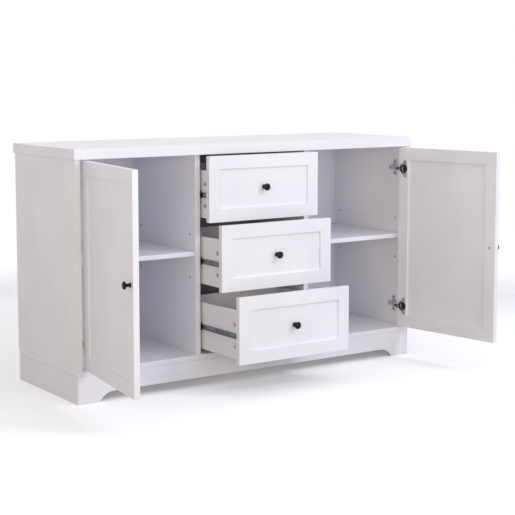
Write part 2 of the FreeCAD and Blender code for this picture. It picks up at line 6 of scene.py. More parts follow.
import bmesh
import bpy
import numpy as np
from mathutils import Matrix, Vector


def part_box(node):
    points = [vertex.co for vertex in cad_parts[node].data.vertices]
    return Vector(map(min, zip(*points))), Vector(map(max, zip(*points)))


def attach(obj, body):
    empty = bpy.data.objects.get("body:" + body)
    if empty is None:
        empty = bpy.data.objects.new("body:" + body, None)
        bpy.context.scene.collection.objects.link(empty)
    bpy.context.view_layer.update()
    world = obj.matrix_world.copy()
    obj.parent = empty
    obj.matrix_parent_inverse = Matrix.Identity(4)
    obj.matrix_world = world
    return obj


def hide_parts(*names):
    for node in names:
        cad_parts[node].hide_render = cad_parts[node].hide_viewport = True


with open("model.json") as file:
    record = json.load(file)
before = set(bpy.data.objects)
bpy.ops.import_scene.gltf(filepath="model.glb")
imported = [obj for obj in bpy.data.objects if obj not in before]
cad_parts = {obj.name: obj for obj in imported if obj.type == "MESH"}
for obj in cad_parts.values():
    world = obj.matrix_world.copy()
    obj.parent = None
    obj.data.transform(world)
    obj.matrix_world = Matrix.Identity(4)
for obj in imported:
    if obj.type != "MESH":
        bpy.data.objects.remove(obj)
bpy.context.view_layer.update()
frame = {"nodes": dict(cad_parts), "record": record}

MM = 0.001

# ------------------------------------------------------------------ sizes, in metres
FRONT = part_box("side_panel_left")[0].y  # front edges of the side panels
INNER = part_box("side_panel_right")[0].x  # inner face of the right side panel
DIVIDER_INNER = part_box("divider_right")[0].x
DIVIDER_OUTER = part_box("divider_right")[1].x
BACK_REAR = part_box("back_panel")[1].y
FLOOR_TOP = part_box("bottom_board")[1].z
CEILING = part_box("top_board")[0].z
FRONT_THICKNESS = 18 * MM  # doors and drawer fronts
FRONT_RECESS = 6 * MM  # the panel behind the frame of a drawer front
DOOR_ANGLE = math.radians(98.5)  # how far the doors stand open
HINGE_AXIS_X = INNER - 9 * MM
# Across a door, from its hinge axis
CUP_CENTRE = -14.5 * MM
DOOR_FREE_END = -426 * MM
KNOB_EDGE = 22 * MM  # from the free end
SIDES = {"left": -1, "right": 1}
DRAWERS = ("upper", "middle", "lower")
DOOR_LOW, DOOR_HIGH = FLOOR_TOP + 3 * MM, CEILING - 3 * MM
CUP_INSET = 76 * MM
HINGE_LEVELS = (DOOR_LOW + CUP_INSET, DOOR_HIGH - CUP_INSET)


# ------------------------------------------------------------------ surfaces worked out as arrays
def wrapped_quads(rows, columns):
    """Quads of a grid whose rows close on themselves: (i, j), (i, j+1), (i+1, j+1), (i+1, j)."""
    i, j = np.meshgrid(np.arange(rows - 1), np.arange(columns), indexing="ij")
    k = (j + 1) % columns
    quads = np.stack([i * columns + j, i * columns + k, (i + 1) * columns + k, (i + 1) * columns + j], 2)
    return quads.reshape(-1, 4).tolist()


def fan(start, segments, tip, backwards=False):
    """Triangles (k, k+1, tip) that close a ring of points; backwards they are (k+1, k, tip)."""
    here = start + np.arange(segments)
    ahead = start + (np.arange(segments) + 1) % segments
    ring = [ahead, here] if backwards else [here, ahead]
    return np.stack([*ring, np.full(segments, tip)], 1).tolist()


def lathe(profile, segments=48):
    """Turned shape about +Z: point = (r cos a, r sin a, h) for each (r, h) of the profile.

    A profile that starts or ends at r = 0 is closed there by a fan of triangles.
    """
    profile = np.asarray(profile, float)
    angle = np.linspace(0, 2 * np.pi, segments, endpoint=False)
    closed_start, closed_end = profile[0, 0] == 0, profile[-1, 0] == 0
    rings = profile[1 if closed_start else 0 : len(profile) - (1 if closed_end else 0)]
    grid = np.stack(
        [np.outer(rings[:, 0], np.cos(angle)), np.outer(rings[:, 0], np.sin(angle)),
         np.repeat(rings[:, 1:2], segments, 1)], axis=2)
    points = grid.reshape(-1, 3)
    faces = wrapped_quads(len(rings), segments)
    if closed_start:
        points = np.vstack([points, [0, 0, profile[0, 1]]])
        faces += fan(0, segments, len(points) - 1, backwards=True)
    if closed_end:
        points = np.vstack([points, [0, 0, profile[-1, 1]]])
        faces += fan((len(rings) - 1) * segments, segments, len(points) - 1)
    return points, faces


def round_over(radius, height, edge, steps=4):
    """Profile of a disc whose upper edge is a quarter circle: (r - e + e cos a, h - e + e sin a)."""
    a = np.linspace(0, np.pi / 2, steps + 1)
    bow = np.stack([radius - edge + edge * np.cos(a), height - edge + edge * np.sin(a)], 1)
    return np.vstack([[[0, 0], [radius, 0]], bow, [[0, height]]])


def screw_head(radius, height, recess, rings=14, segments=48):
    """Domed head with a cross recess: z = h (1 - 0.45 p^4) - d cross(x, y), over the disc 0 < p < 1.

    cross is 1 inside the slots and falls to 0 over sloped walls, which end at 0.17 from a slot's middle line
    and at 0.66 from the head's middle, both as shares of the head's radius.
    """
    share = np.linspace(0.03, 1, rings)
    angle = np.linspace(0, 2 * np.pi, segments, endpoint=False)
    x, y = np.outer(share, np.cos(angle)), np.outer(share, np.sin(angle))
    near, far = np.minimum(np.abs(x), np.abs(y)), np.maximum(np.abs(x), np.abs(y))
    side_walls = np.clip((0.17 - near) / 0.06, 0, 1)
    end_walls = np.clip((0.66 - far) / 0.16, 0, 1)
    cross = side_walls * end_walls
    z = height * (1 - 0.45 * share[:, None] ** 4) - recess * cross
    top = np.stack([radius * x, radius * y, z], 2).reshape(-1, 3)
    rim = np.stack([radius * np.cos(angle), radius * np.sin(angle), np.zeros(segments)], 1)
    points = np.vstack([top, rim, [[0, 0, height - recess], [0, 0, 0]]])
    faces = [face[::-1] for face in wrapped_quads(rings + 1, segments)]
    faces += fan(0, segments, len(points) - 2)
    faces += fan(rings * segments, segments, len(points) - 1, backwards=True)
    return points, faces


def bent_strip(corners, bend, sheet, steps=5):
    """Cross-section of a folded sheet, as its two faces.

    The corner line gets arcs of the bend radius, and is offset by half the sheet's thickness each way.
    """
    corners = np.asarray(corners, float)
    line = [corners[0]]
    for before, corner, after in zip(corners, corners[1:], corners[2:]):
        to_before = (before - corner) / np.linalg.norm(before - corner)
        to_after = (after - corner) / np.linalg.norm(after - corner)
        a = np.linspace(0, np.pi / 2, steps + 1)[:, None]
        centre = corner + bend * (to_before + to_after)
        line.append(centre - bend * (to_after * np.cos(a) + to_before * np.sin(a)))
    line.append(corners[-1])
    line = np.vstack(line)
    run = np.gradient(line, axis=0)
    run /= np.linalg.norm(run, axis=1)[:, None]
    normal = np.stack([-run[:, 1], run[:, 0]], 1)
    return line + normal * sheet / 2, line - normal * sheet / 2


def drawn_section(section, start, end):
    """A section, two matching lines of (x, z), drawn along Y: point = (x, y, z), with a cap at each end."""
    one, other = section
    ring = np.vstack([one, other[::-1]])
    count, half = len(ring), len(one)
    y = np.repeat([start, end], count)
    points = np.stack([np.tile(ring[:, 0], 2), y, np.tile(ring[:, 1], 2)], 1)
    faces = wrapped_quads(2, count)
    i = np.arange(half - 1)
    cap = np.stack([i, i + 1, count - 2 - i, count - 1 - i], 1)
    faces += cap[:, ::-1].tolist() + (cap + count).tolist()
    return points, faces


def turned(surface, origin, across, along, up):
    """A surface with its local x, y, z laid along three directions from an origin: origin + x A + y B + z C.

    If the directions mirror it, its faces are turned round, so that they still point outwards.
    """
    points, faces = surface
    axes = np.array([across, along, up], float)
    points = points @ axes + np.array(origin, float)
    return points, [face[::-1] for face in faces] if np.linalg.det(axes) < 0 else faces


def facing(surface, origin, outward):
    """Stands a surface on a face whose outward direction is given: local z goes outward."""
    outward = np.array(outward, float)
    helper = np.array([0.0, 0.0, 1.0]) if abs(outward[2]) < 0.9 else np.array([1.0, 0.0, 0.0])
    across = np.cross(helper, outward)
    across /= np.linalg.norm(across)
    return turned(surface, origin, across, np.cross(outward, across), outward)


def joined(surfaces):
    """Several surfaces as one list of points and faces."""
    points, faces, count = [], [], 0
    for part_points, part_faces in surfaces:
        faces += [[index + count for index in face] for face in part_faces]
        points.append(part_points)
        count += len(part_points)
    return np.vstack(points), faces


def door_axes(side):
    """Directions of a standing-open door: from free end to hinge, from outer face to inner face, and up."""
    c, s = math.cos(DOOR_ANGLE), math.sin(DOOR_ANGLE)
    return (side * c, s, 0), (-side * s, c, 0), (0, 0, 1)


def door_point(side, across, inward, level):
    """A point of the door from its hinge axis: (across, inward) turned by the door's angle."""
    u, v, up = (np.array(axis) for axis in door_axes(side))
    return np.array([side * HINGE_AXIS_X, FRONT, 0]) + across * u + inward * v + level * up


# ------------------------------------------------------------------ finishes
def linear(code):
    """An sRGB hex colour as linear red, green, blue and alpha."""
    parts = [int(code[i : i + 2], 16) / 255 for i in (0, 2, 4)]
    return tuple(p / 12.92 if p <= 0.04045 else ((p + 0.055) / 1.055) ** 2.4 for p in parts) + (1.0,)


def add(tree, kind, inputs=None, **settings):
    """Adds one node: settings are its properties, inputs are socket values or the outputs linked to them."""
    node = tree.nodes.new("ShaderNode" + kind)
    for name, value in settings.items():
        setattr(node, name, value)
    for name, value in (inputs or {}).items():
        if isinstance(value, bpy.types.NodeSocket):
            tree.links.new(value, node.inputs[name])
        else:
            node.inputs[name].default_value = value
    return node


def finish(name, surface):
    """A new material; surface is a function of the tree and its Object coordinates that returns a shader."""
    material = bpy.data.materials.new(name)
    material.use_nodes = True
    tree = material.node_tree
    tree.nodes.clear()
    place = add(tree, "TexCoord").outputs["Object"]
    shader = surface(tree, place)
    add(tree, "OutputMaterial", {"Surface": shader.outputs[0]})
    return material


def two_tone(tree, pattern, dark, light):
    """Colour that runs from dark to light as the pattern goes from 0.35 to 0.65."""
    ramp = add(tree, "ValToRGB", {"Fac": pattern})
    for end, position, code in zip(ramp.color_ramp.elements, (0.35, 0.65), (dark, light)):
        end.position = position
        end.color = linear(code)
    return ramp.outputs["Color"]


def skin(tree, tone, colours, relief, strength, depth, roughness, constants, wear=None):
    """The shader of one finish: two tones of colour by one pattern, relief and roughness by another.

    The relief's depth is in metres. The roughness runs between its two values as the wear pattern, which is the
    relief unless another is given, goes from 0.3 to 0.7. The constants are set on the shader's own sockets.
    """
    low, high = roughness
    rough = add(tree, "MapRange", {
        "Value": wear or relief, "From Min": 0.3, "From Max": 0.7, "To Min": low, "To Max": high})
    bump = add(tree, "Bump", {"Height": relief, "Strength": strength, "Distance": depth})
    return add(tree, "BsdfPrincipled", {
        "Base Color": two_tone(tree, tone, *colours), "Roughness": rough.outputs["Result"],
        "Normal": bump.outputs["Normal"], **constants})


def sprayed_lacquer(tree, place):
    """Satin polyurethane lacquer sprayed on MDF: even cool white, soft highlights, and a faint orange peel.

    The peel's real lumps are 2 to 3 mm; they are drawn at 5 mm so that they show. The broad clouds are the
    passes of the spray gun.
    """
    passes = add(tree, "TexNoise", {"Vector": place, "Scale": 1 / (220 * MM), "Detail": 2.0}).outputs["Fac"]
    peel = add(tree, "TexNoise", {"Vector": place, "Scale": 1 / (5 * MM), "Detail": 3.0}).outputs["Fac"]
    return skin(tree, passes, ("e9e9ec", "efeff1"), peel, 0.25, 0.05 * MM, (0.30, 0.42),
                {"IOR": 1.5, "Coat Weight": 0.12, "Coat Roughness": 0.3})


def melamine_board(tree, place):
    """Melamine-faced chipboard pressed against a pearl plate: cool white, low sheen, tiny even pebbles.

    The real pebbles are 0.3 mm; they are drawn at 2 mm so that they show.
    """
    clouds = add(tree, "TexNoise", {"Vector": place, "Scale": 1 / (300 * MM), "Detail": 2.0}).outputs["Fac"]
    cells = add(tree, "TexVoronoi", {"Vector": place, "Scale": 1 / (2 * MM)}, feature="SMOOTH_F1")
    pebbles = cells.outputs["Distance"]
    return skin(tree, clouds, ("ececf1", "f2f2f5"), pebbles, 0.3, 0.06 * MM, (0.36, 0.5), {"IOR": 1.5})


def drawer_melamine(tree, place):
    """Thin melamine paper on the drawer boards: a shade warmer than the carcass, with its fibres showing.

    The fibres run along the board, and are drawn 2 by 20 mm so that they show.
    """
    along = add(tree, "Mapping", {"Vector": place, "Scale": (1.0, 0.1, 1.0)}).outputs["Vector"]
    fibres = add(tree, "TexNoise", {"Vector": along, "Scale": 1 / (2 * MM), "Detail": 3.0}).outputs["Fac"]
    return skin(tree, fibres, ("e9e8e9", "eeedee"), fibres, 0.25, 0.05 * MM, (0.4, 0.52), {"IOR": 1.5})


def painted_hardboard(tree, place):
    """Thin high-density fibreboard with a roller-painted white face: flat, flecked by the fibres under it."""
    flecks = add(tree, "TexNoise", {"Vector": place, "Scale": 1 / (3 * MM), "Detail": 4.0}).outputs["Fac"]
    upright = add(tree, "Mapping", {"Vector": place, "Scale": (1.0, 1.0, 0.15)}).outputs["Vector"]
    roller = add(tree, "TexNoise", {"Vector": upright, "Scale": 1 / (20 * MM), "Detail": 2.0}).outputs["Fac"]
    return skin(tree, flecks, ("e6e6ea", "ededf1"), flecks, 0.35, 0.05 * MM, (0.5, 0.62), {"IOR": 1.48},
                wear=roller)


def edging_strip(stretch):
    """ABS edging ironed on to a front edge: whiter and smoother than the board, with fine lines along it.

    The stretch is small in the direction in which the strip runs.
    """
    def surface(tree, place):
        along = add(tree, "Mapping", {"Vector": place, "Scale": stretch}).outputs["Vector"]
        lines = add(tree, "TexNoise", {"Vector": along, "Scale": 1 / (1.5 * MM), "Detail": 2.0}).outputs["Fac"]
        return skin(tree, lines, ("eeeef1", "f2f2f4"), lines, 0.12, 0.03 * MM, (0.28, 0.36), {"IOR": 1.5})
    return surface


def black_enamel(tree, place):
    """Stoved gloss black enamel on a zinc casting: deep black with sharp highlights and a slight waviness."""
    waves = add(tree, "TexNoise", {"Vector": place, "Scale": 1 / (4 * MM), "Detail": 2.0}).outputs["Fac"]
    return skin(tree, waves, ("060505", "0c0b0a"), waves, 0.3, 0.05 * MM, (0.22, 0.32),
                {"IOR": 1.45, "Specular IOR Level": 0.22, "Coat Weight": 0.05, "Coat Roughness": 0.1})


def metal(dark, light, patch, roughness, grain):
    """A metal surface: patches of two tones, and a fine grain that moves its roughness and relief."""
    def surface(tree, place):
        patches = add(tree, "TexNoise", {"Vector": place, "Scale": 1 / patch, "Detail": 2.0}).outputs["Fac"]
        texture = add(tree, "TexNoise", {"Vector": place, "Scale": 1 / grain, "Detail": 3.0}).outputs["Fac"]
        return skin(tree, patches, (dark, light), texture, 0.25, 0.03 * MM, roughness, {"Metallic": 1.0})
    return surface


def spark_eroded_plastic(tree, place):
    """Black POM moulded in a spark-eroded tool: matt, with a fine even grain."""
    grain = add(tree, "TexNoise", {"Vector": place, "Scale": 1 / (0.8 * MM), "Detail": 2.0}).outputs["Fac"]
    return skin(tree, grain, ("141414", "1f1f20"), grain, 0.4, 0.05 * MM, (0.45, 0.6), {"IOR": 1.48})


def bumper_rubber(tree, place):
    """Clear polyurethane pads, cast domed: milky on white, shiny, with a faint inner haze."""
    haze = add(tree, "TexNoise", {"Vector": place, "Scale": 1 / (1.5 * MM), "Detail": 2.0}).outputs["Fac"]
    return skin(tree, haze, ("e2e4e4", "ececeb"), haze, 0.2, 0.03 * MM, (0.15, 0.25), {"IOR": 1.5})


def chipboard_darkened_as_painted_hole_shade(tree, place):
    """Drilled chipboard inside a hole: chips of 1 mm, dull, rough and dusty, darkened to a near-black brown as
    painted shade of the deep hole.
    """
    chips = add(tree, "TexVoronoi", {"Vector": place, "Scale": 1 / MM}).outputs["Distance"]
    return skin(tree, chips, ("2e2823", "4a4038"), chips, 0.5, 0.2 * MM, (0.7, 0.9), {"IOR": 1.45})


FINISHES = {
    "white_lacquer": finish("satin_white_lacquer_on_mdf", sprayed_lacquer),
    "white_melamine": finish("pearl_white_melamine_board", melamine_board),
    "drawer_melamine": finish("white_melamine_paper_on_drawer_board", drawer_melamine),
    "white_hardboard": finish("roller_painted_hardboard", painted_hardboard),
    "black_knob": finish("gloss_black_enamel_on_zinc", black_enamel),
    # Nickel plate on pressed steel: light grey, softly bright, with rack marks a few millimetres wide
    "nickel_hinge": finish(
        "nickel_plated_steel", metal("c4c2c4", "d9d8da", 6 * MM, (0.3, 0.42), 1 * MM)),
    # Bright zinc plate on rolled strip: blue-grey and duller than nickel
    "zinc_slide": finish(
        "zinc_plated_strip", metal("8d9093", "a6a9ac", 8 * MM, (0.34, 0.46), 1 * MM)),
    # Zinc plate on cold-headed wire: bright crowns with dull spots
    "zinc_screw": finish(
        "zinc_plated_screw_wire", metal("9a9b9b", "b7b8b8", 2 * MM, (0.26, 0.4), 0.6 * MM)),
    # Bare zinc die casting: dull grey with a slightly sandy skin
    "cam_alloy": finish(
        "zinc_die_casting", metal("b9babc", "cfd0d2", 3 * MM, (0.5, 0.65), 0.7 * MM)),
    # Spring steel of the hinge links and cup pins: nearly black, oily
    "hinge_link_steel": finish(
        "nearly_black_link_steel", metal("242322", "343230", 3 * MM, (0.3, 0.42), 0.7 * MM)),
    # Ground steel with bright nickel: the cleanest metal on the piece
    "pin_steel": finish(
        "nickel_plated_pin", metal("a9a8a5", "c2c1be", 3 * MM, (0.16, 0.26), 0.6 * MM)),
    # Phosphated steel strip holding the balls: dark grey, oiled. The same dark grey is painted shade in the
    # runners' spare holes
    "ball_cage": finish(
        "phosphated_steel_and_hole_shade", metal("3f4042", "55565a", 3 * MM, (0.34, 0.48), 0.7 * MM)),
}
EDGING = {"divider": finish("white_abs_edging_upright", edging_strip((1.0, 1.0, 0.02))),
          "shelf": finish("white_abs_edging_level", edging_strip((0.02, 1.0, 1.0)))}
# Near-black chipboard: painted shade inside the empty pin holes
CHIPBOARD_DARKENED_AS_PAINTED_HOLE_SHADE = finish("chipboard_darkened_as_painted_hole_shade", chipboard_darkened_as_painted_hole_shade)
# Black plastic of the slide end stops, also used as painted shade on the hinge cups' floors
BLACK_PLASTIC_AND_CUP_SHADE = finish("black_moulded_pom", spark_eroded_plastic)
BUMPER = finish("clear_polyurethane_pad", bumper_rubber)


# ------------------------------------------------------------------ making pieces
SMOOTH_UNDER = math.radians(38)  # faces that meet at a smaller angle are shaded as one curve
SHARP_OVER = math.radians(40)  # edges of CAD parts with a larger angle are rounded
HOLE_RIM = 5 * MM  # a straight piece of a hole's rim is shorter than this
# Boards with blind holes keep their triangles, so that no face spans a hole
DRILLED = ("divider_", "side_panel_")


def modelled(name, surface, material):
    """An object from a surface's points and faces, in one material."""
    points, faces = surface
    mesh = bpy.data.meshes.new(name)
    mesh.from_pydata(points.tolist(), [], faces)
    mesh.materials.append(material)
    made = bpy.data.objects.new(name, mesh)
    bpy.context.scene.collection.objects.link(made)
    return made


def piece(name, surface, body, material, stands_for=(), slot=None):
    """A finished piece that rides on its body; material is a slot's name, or a material of the piece's own."""
    if isinstance(material, str):
        slot, material = material, FINISHES[material]
    made = modelled(name, surface, material)
    made.data.shade_smooth()
    made.data.set_sharp_from_angle(angle=SMOOTH_UNDER)
    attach(made, body)
    if stands_for:
        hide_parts(*stands_for)


def eased(node, edge, body, slot):
    """The CAD part again as one closed skin, with every sharp edge rounded over by the edge radius.

    In drilled boards only the long edges are rounded; the rims of the holes stay crisp.
    """
    drilled = node.startswith(DRILLED)
    skin = bmesh.new()
    skin.from_mesh(frame["nodes"][node].data)
    bmesh.ops.remove_doubles(skin, verts=skin.verts, dist=1e-6)
    if not drilled:
        bmesh.ops.dissolve_limit(skin, angle_limit=math.radians(0.5), verts=skin.verts, edges=skin.edges)
    weight = skin.edges.layers.float.new("bevel_weight_edge")
    for line in skin.edges:
        sharp = line.is_manifold and line.calc_face_angle() > SHARP_OVER
        line[weight] = 1.0 if sharp and (line.calc_length() > HOLE_RIM or not drilled) else 0.0
    mesh = bpy.data.meshes.new(f"{node}_finished")
    skin.to_mesh(mesh)
    skin.free()
    mesh.shade_smooth()
    mesh.materials.clear()
    mesh.materials.append(FINISHES[slot])
    made = bpy.data.objects.new(f"{node}_finished", mesh)
    bpy.context.scene.collection.objects.link(made)
    bevel = made.modifiers.new("eased_edges", "BEVEL")
    bevel.width = edge
    bevel.segments = 3
    bevel.limit_method = "WEIGHT"
    bevel.use_clamp_overlap = not drilled
    flat = made.modifiers.new("flat_broad_faces", "WEIGHTED_NORMAL")
    flat.mode = "FACE_AREA"
    flat.keep_sharp = True
    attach(made, body)
    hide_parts(node)


EDGE_RADIUS = {
    "white_lacquer": 0.8 * MM, "white_melamine": 0.4 * MM, "drawer_melamine": 0.5 * MM,
    "white_hardboard": 0.3 * MM, "nickel_hinge": 0.25 * MM, "hinge_link_steel": 0.25 * MM,
    "zinc_slide": 0.15 * MM, "cam_alloy": 0.3 * MM, "ball_cage": 0.08 * MM,
}
WIDER_EDGE = {"top_board": 1.4 * MM, "plinth_front": 1.2 * MM, "bottom_board": 2.0 * MM}
BODY_OF = {node: body for body, nodes in frame["record"]["behaviour"]["bodies"].items() for node in nodes}
SLOT_OF = {row["node"]: row["material_slot"] for row in frame["record"]["subparts"]}
# CAD parts that get a surface of their own below: every part in these slots, and every part with these endings
OWN_SHAPE = {"black_knob", "zinc_screw", "pin_steel"}
OWN_SHAPE_ENDS = ("slide_channels", "slide_runners", "hinge_cups")

for node, slot in SLOT_OF.items():
    frame["nodes"][node].data.materials.clear()
    frame["nodes"][node].data.materials.append(FINISHES[slot])
    if slot not in OWN_SHAPE and not node.endswith(OWN_SHAPE_ENDS):
        eased(node, WIDER_EDGE.get(node, EDGE_RADIUS[slot]), BODY_OF[node], slot)


# ------------------------------------------------------------------ knobs and the doors' small fittings
def mushroom_knob():
    """Profile (r, h) of the turned knob, in millimetres from its seat.

    Foot ring: (6.5 + cos a, 1.4 + sin a). Waist: r = 4.5 + 0.062 (h - 8)^2.
    Head: (12.2 cos^0.9 a, 18.5 + k sin a), where k is 4.6 under the widest ring and 6 over it.
    """
    turn = np.linspace(0, np.pi / 2, 6)
    foot = np.stack([6.5 + np.cos(turn), 1.4 + np.sin(turn)], 1)
    h = np.linspace(2.7, 13.2, 14)
    waist = np.stack([4.5 + 0.062 * (h - 8.0) ** 2, h], 1)
    turn = np.linspace(-np.pi / 2 + 0.35, np.pi / 2, 22)
    k = np.where(turn < 0, 4.6, 6.0)
    head = np.stack([12.2 * np.cos(turn) ** 0.9, 18.5 + k * np.sin(turn)], 1)
    head[-1, 0] = 0
    return np.vstack([[[0, 0], [7.5, 0]], foot, waist, head]) * MM


KNOB = lathe(mushroom_knob(), 64)
BOLT_HEAD = screw_head(radius=4.2 * MM, height=2.4 * MM, recess=1.4 * MM)
WASHER_THICKNESS = 0.8 * MM
WASHER = lathe(round_over(radius=6 * MM, height=WASHER_THICKNESS, edge=0.3 * MM))
FLANGE = 1.2 * MM  # sheet of the hinge cup's flange
CUP_SCREW = screw_head(radius=3.6 * MM, height=1.3 * MM, recess=0.8 * MM)
CUP_SCREW_ACROSS = CUP_CENTRE - 8.5 * MM
CUP_SCREW_SPREAD = 25 * MM  # above and below the cup's middle
PAD = lathe(round_over(radius=3 * MM, height=0.55 * MM, edge=0.4 * MM), 32)
DOOR_PAD_ACROSS = DOOR_FREE_END + 4.5 * MM
DOOR_PAD_INSET = 22 * MM

for drawer in DRAWERS:
    body = f"drawer_{drawer}"
    low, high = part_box(f"{body}_front")
    middle = (low.z + high.z) / 2
    knob = facing(KNOB, (0, low.y + FRONT_RECESS, middle), (0, -1, 0))
    piece(f"{body}_knob_turned", knob, body, "black_knob", [f"{body}_knob"])
    washer = facing(WASHER, (0, high.y, middle), (0, 1, 0))
    head = facing(BOLT_HEAD, (0, high.y + WASHER_THICKNESS, middle), (0, 1, 0))
    piece(f"{body}_knob_bolt", joined([washer, head]), body, "zinc_screw")

for hand, side in SIDES.items():
    body = f"door_{hand}"
    inward = np.array(door_axes(side)[1])
    middle = (DOOR_LOW + DOOR_HIGH) / 2
    knob = facing(KNOB, door_point(side, DOOR_FREE_END + KNOB_EDGE, 0, middle), -inward)
    piece(f"{body}_knob_turned", knob, body, "black_knob", [f"{body}_knob"])
    head = facing(BOLT_HEAD, door_point(side, DOOR_FREE_END + KNOB_EDGE, FRONT_THICKNESS, middle), inward)
    piece(f"{body}_knob_screw_head", head, body, "zinc_screw", [f"{body}_knob_screw"])
    screws = []
    for level in HINGE_LEVELS:
        for spread in (-CUP_SCREW_SPREAD, CUP_SCREW_SPREAD):
            spot = door_point(side, CUP_SCREW_ACROSS, FRONT_THICKNESS + FLANGE, level + spread)
            screws.append(facing(CUP_SCREW, spot, inward))
    piece(f"{body}_cup_screws", joined(screws), body, "zinc_screw")
    # Pads near the free end that stop the door on the divider
    pads = [facing(PAD, door_point(side, DOOR_PAD_ACROSS, FRONT_THICKNESS, level), inward)
            for level in (DOOR_LOW + DOOR_PAD_INSET, DOOR_HIGH - DOOR_PAD_INSET)]
    piece(f"{body}_bumpers", joined(pads), body, BUMPER)

# ------------------------------------------------------------------ hinge cups
BOWL_FLOOR = -11.3 * MM  # from the door's inner face
CUP_SHEET = 0.7 * MM
CUP_MOUTH = 16.7 * MM
CUP_CORNER = 2.5 * MM
FLANGE_EDGE = 0.4 * MM


def flange_reach(angle):
    """Distance from the cup's middle to the flange's edge, in metres, for each direction.

    The flange is a rim of radius 18.6 mm, two ears within x = -16, |y| = 31 and 8 x + |y| = 23, and a web from
    each ear down to the rim along its tangent 0.7 x + |y| = 22.7. In each direction the farthest counts.
    """
    def bound(distance, divisor):
        return np.where(divisor > 1e-6, distance / np.maximum(divisor, 1e-6), np.inf)

    across, along = np.cos(angle), np.abs(np.sin(angle))
    rim = np.full_like(angle, 18.6)
    ends = np.minimum(bound(16, -across), bound(31, along))
    ears = np.minimum(ends, bound(23, 8 * across + along))
    web = np.minimum(ends, bound(22.7, 0.7 * across + along))
    before_tangent = across < 0.57
    return np.maximum.reduce([rim, ears, np.where(before_tangent, web, 0)]) * MM


def hinge_cup_shell(segments=240):
    """Pressed cup in one skin: rings run up outside the bowl, under the flange, over its edge and down inside.

    Each ring is radius(a) (cos a, sin a) at one height. The flange's rings have radius flange_reach(a) less a
    share of its rounded edge, and the bowl's corner is a quarter circle.
    """
    angle = np.linspace(0, 2 * np.pi, segments, endpoint=False)
    reach = flange_reach(angle)
    turn = np.linspace(0, np.pi / 2, 5)
    outside = CUP_MOUTH + CUP_SHEET
    rings = [(outside, BOWL_FLOOR - CUP_SHEET), (outside, 0.0), (reach, 0.0), (reach, FLANGE - FLANGE_EDGE),
             (reach - 0.3 * FLANGE_EDGE, FLANGE - 0.3 * FLANGE_EDGE), (reach - FLANGE_EDGE, FLANGE),
             (CUP_MOUTH + 0.5 * MM, FLANGE), (CUP_MOUTH + 0.1 * MM, FLANGE - 0.2 * MM),
             (CUP_MOUTH, FLANGE - 0.6 * MM)]
    rings += [(CUP_MOUTH - CUP_CORNER * (1 - math.cos(t)), BOWL_FLOOR + CUP_CORNER * (1 - math.sin(t)))
              for t in turn]
    radius = np.array([np.broadcast_to(radius, segments) for radius, height in rings])
    height = np.array([np.full(segments, height) for radius, height in rings])
    grid = np.stack([radius * np.cos(angle), radius * np.sin(angle), height], 2)
    points = np.vstack([grid.reshape(-1, 3), [[0, 0, BOWL_FLOOR - CUP_SHEET], [0, 0, BOWL_FLOOR]]])
    faces = wrapped_quads(len(rings), segments)
    faces += fan(0, segments, len(points) - 2, backwards=True)
    faces += fan((len(rings) - 1) * segments, segments, len(points) - 1)
    return points, faces


CUP = hinge_cup_shell()
CUP_PIN = lathe(np.array([(0, -14.8), (1.25, -14.8), (1.25, 14.8), (0, 14.8)]) * MM, 20)
CUP_PIN_ACROSS = -20 * MM  # from the hinge axis
CUP_PIN_INWARD = 13 * MM  # from the door's outer face
# A black disc on each cup's floor stands for the hinge spring's cover and is painted shade: it darkens the bowl
# the way the shade inside the deep cup does
CUP_SHADE_DISC = lathe(np.array([(0, 0), (14, 0), (14, 1.6), (13.2, 2.4), (11.5, 2.8), (0, 2.8)]) * MM, 40)
CUP_SHADE_DISC_INWARD = FRONT_THICKNESS + BOWL_FLOOR
for hand, side in SIDES.items():
    body = f"door_{hand}"
    across, inward, up = door_axes(side)
    cups, pins, cup_shade_discs = [], [], []
    for level in HINGE_LEVELS:
        spot = door_point(side, CUP_CENTRE, FRONT_THICKNESS, level)
        cups.append(turned(CUP, spot, across, up, inward))
        spot = door_point(side, CUP_PIN_ACROSS, CUP_PIN_INWARD, level)
        pins.append(turned(CUP_PIN, spot, across, inward, up))
        spot = door_point(side, CUP_CENTRE, CUP_SHADE_DISC_INWARD, level)
        cup_shade_discs.append(facing(CUP_SHADE_DISC, spot, inward))
    piece(f"{body}_hinge_cups_pressed", joined(cups), body, "nickel_hinge", [f"{body}_hinge_cups"])
    piece(f"{body}_cup_pins", joined(pins), body, "hinge_link_steel")
    piece(f"{body}_cup_floor_painted_shade", joined(cup_shade_discs), body, BLACK_PLASTIC_AND_CUP_SHADE)

# ------------------------------------------------------------------ hinge screws on the carcass
PLATE_SCREW = screw_head(radius=4 * MM, height=1.6 * MM, recess=1 * MM)
PLATE_MIDDLE = FRONT + 57 * MM
PLATE_FACE = INNER - 2 * MM
PLATE_SCREW_SPREAD = 22 * MM
# The arm's two set screws: one moves the door sideways, one clamps the arm
SET_SCREW = screw_head(radius=3.6 * MM, height=1.1 * MM, recess=0.8 * MM)
SET_SCREW_SETBACKS = (48 * MM, 67 * MM)
ARM_FACE = INNER - 14.6 * MM

plate_heads, arm_heads = [], []
for side in SIDES.values():
    outward = (-side, 0, 0)
    for level in HINGE_LEVELS:
        for spread in (-PLATE_SCREW_SPREAD, PLATE_SCREW_SPREAD):
            plate_heads.append(facing(PLATE_SCREW, (side * PLATE_FACE, PLATE_MIDDLE, level + spread), outward))
        for setback in SET_SCREW_SETBACKS:
            arm_heads.append(facing(SET_SCREW, (side * ARM_FACE, FRONT + setback, level), outward))
piece("hinge_plate_screw_heads", joined(plate_heads), "carcass", "zinc_screw", ["hinge_plate_screws"])
piece("hinge_arm_set_screws", joined(arm_heads), "carcass", "zinc_screw")

